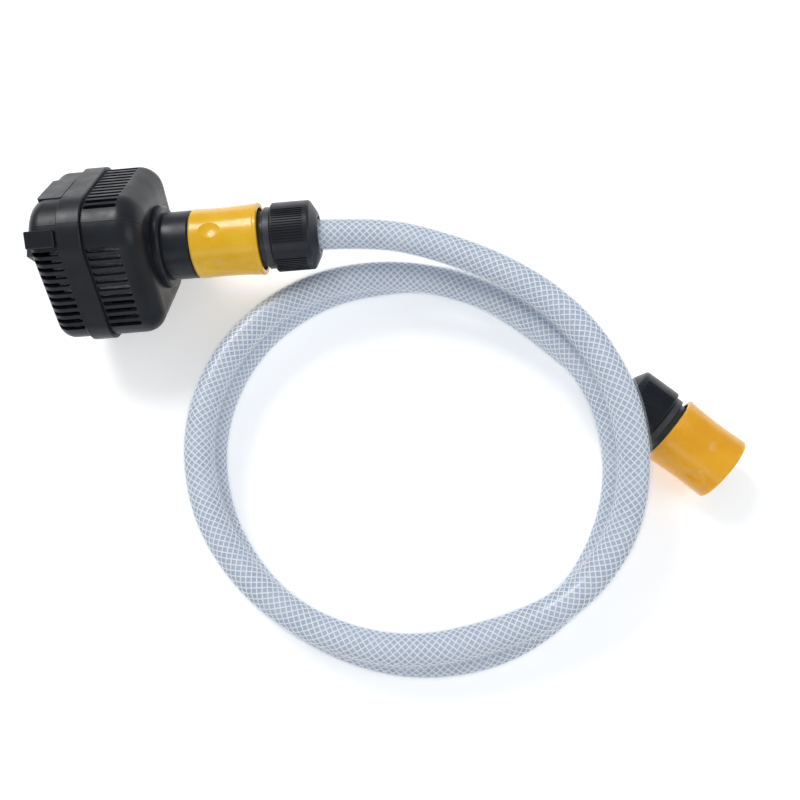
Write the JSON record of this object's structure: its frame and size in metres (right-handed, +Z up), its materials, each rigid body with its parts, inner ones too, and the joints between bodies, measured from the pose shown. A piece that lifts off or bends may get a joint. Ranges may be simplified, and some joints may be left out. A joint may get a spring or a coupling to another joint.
{
  "type": "suction strainer hose",
  "caption": "Slotted suction strainer head on a coiled clear braided hose, with a push-fit sleeve connector at each end and a foot valve inside.",
  "frame": {"origin": "on the floor, under the middle of the box around the strainer head and the connector on it", "axes": "+X runs along the head towards its hose, +Z is up; the free hose and its far connector are left out of the box"},
  "size_m": [0.3371, 0.2596, 0.0807],
  "materials": {
    "black_plastic": "satin-gloss moulded ABS, very slightly blue",
    "yellow_plastic": "glossy warm yellow moulded ABS",
    "white_plastic": "natural acetal, satin",
    "grey_plastic": "dark grey moulded polypropylene",
    "clear_hose": "clear soft PVC with a white yarn braid between its two layers",
    "spring_steel": "stainless spring wire",
    "screen": "woven stainless screen",
    "rubber": "black nitrile rubber"
  },
  "bodies": {
    "hose_line": {"hose": "clear_hose", "socket_body_1": "black_plastic", "socket_body_2": "black_plastic", "sleeve_spring_1": "spring_steel", "sleeve_spring_2": "spring_steel", "hose_collet_1": "grey_plastic", "hose_collet_2": "grey_plastic"},
    "head": {"rear_shell": "black_plastic", "outlet_tube": "black_plastic", "neck_gasket": "rubber", "nipple_seal": "rubber", "screen_frame": "grey_plastic", "screen_mesh": "screen", "valve_seat": "grey_plastic", "valve_guide": "grey_plastic", "valve_spring": "spring_steel"},
    "front_shell": {"front_shell": "black_plastic"},
    "poppet": {"valve_poppet": "grey_plastic", "poppet_seal": "rubber"},
    "sleeve_1": {"sleeve_1": "yellow_plastic"},
    "lock_claw_1a": {"lock_claw_1a": "white_plastic"},
    "lock_claw_1b": {"lock_claw_1b": "white_plastic"},
    "lock_claw_1c": {"lock_claw_1c": "white_plastic"},
    "nut_1": {"hose_nut_1": "black_plastic"},
    "sleeve_2": {"sleeve_2": "yellow_plastic"},
    "lock_claw_2a": {"lock_claw_2a": "white_plastic"},
    "lock_claw_2b": {"lock_claw_2b": "white_plastic"},
    "lock_claw_2c": {"lock_claw_2c": "white_plastic"},
    "nut_2": {"hose_nut_2": "black_plastic"}
  },
  "joints": [
    {"name": "head_swivel", "type": "hinge", "parent": "hose_line", "child": "head", "pos_m": [-0.0424, 0.00018, 0.04072], "axis": [0.9986, 0, 0.0523], "continuous": true},
    {"name": "front_release", "type": "slide", "parent": "head", "child": "front_shell", "axis": [0, -1, 0], "range_m": [0, 0.045]},
    {"name": "poppet_lift", "type": "slide", "parent": "head", "child": "poppet", "axis": [0.9986, 0, 0.0523], "range_m": [0, 0.004], "stiffness_N_per_m": 60, "springref_m": -0.003, "deforming": ["valve_spring"]},
    {"name": "sleeve_1_slide", "type": "slide", "parent": "hose_line", "child": "sleeve_1", "axis": [0.9986, 0, 0.0523], "range_m": [0, 0.005], "stiffness_N_per_m": 800, "springref_m": -0.004, "deforming": ["sleeve_spring_1"]},
    {"name": "lock_claw_1a_slide", "type": "slide", "parent": "hose_line", "child": "lock_claw_1a", "axis": [-0.0046, 0.9962, 0.087], "range_m": [0, 0.001]},
    {"name": "lock_claw_1b_slide", "type": "slide", "parent": "hose_line", "child": "lock_claw_1b", "axis": [-0.0429, -0.5736, 0.818], "range_m": [0, 0.001]},
    {"name": "lock_claw_1c_slide", "type": "slide", "parent": "hose_line", "child": "lock_claw_1c", "axis": [0.0474, -0.4226, -0.9051], "range_m": [0, 0.001]},
    {"name": "nut_1_turn", "type": "hinge", "parent": "hose_line", "child": "nut_1", "pos_m": [0.05547, 0.00018, 0.04585], "axis": [0.9986, 0, 0.0523], "range_deg": [0, 360]},
    {"name": "sleeve_2_slide", "type": "slide", "parent": "hose_line", "child": "sleeve_2", "axis": [-0.7314, 0.682, 0], "range_m": [0, 0.005], "stiffness_N_per_m": 800, "springref_m": -0.004, "deforming": ["sleeve_spring_2"]},
    {"name": "lock_claw_2a_slide", "type": "slide", "parent": "hose_line", "child": "lock_claw_2a", "axis": [-0.682, -0.7314, 0], "range_m": [0, 0.001]},
    {"name": "lock_claw_2b_slide", "type": "slide", "parent": "hose_line", "child": "lock_claw_2b", "axis": [0.341, 0.3657, 0.866], "range_m": [0, 0.001]},
    {"name": "lock_claw_2c_slide", "type": "slide", "parent": "hose_line", "child": "lock_claw_2c", "axis": [0.341, 0.3657, -0.866], "range_m": [0, 0.001]},
    {"name": "nut_2_turn", "type": "hinge", "parent": "hose_line", "child": "nut_2", "pos_m": [0.22193, -0.0917, 0.0178], "axis": [-0.7314, 0.682, 0], "range_deg": [0, 360]}
  ],
  "couplings": [
    {"joint": "lock_claw_1a_slide", "follows": "sleeve_1_slide", "ratio": 0.2},
    {"joint": "lock_claw_1b_slide", "follows": "sleeve_1_slide", "ratio": 0.2},
    {"joint": "lock_claw_1c_slide", "follows": "sleeve_1_slide", "ratio": 0.2},
    {"joint": "lock_claw_2a_slide", "follows": "sleeve_2_slide", "ratio": 0.2},
    {"joint": "lock_claw_2b_slide", "follows": "sleeve_2_slide", "ratio": 0.2},
    {"joint": "lock_claw_2c_slide", "follows": "sleeve_2_slide", "ratio": 0.2}
  ]
}
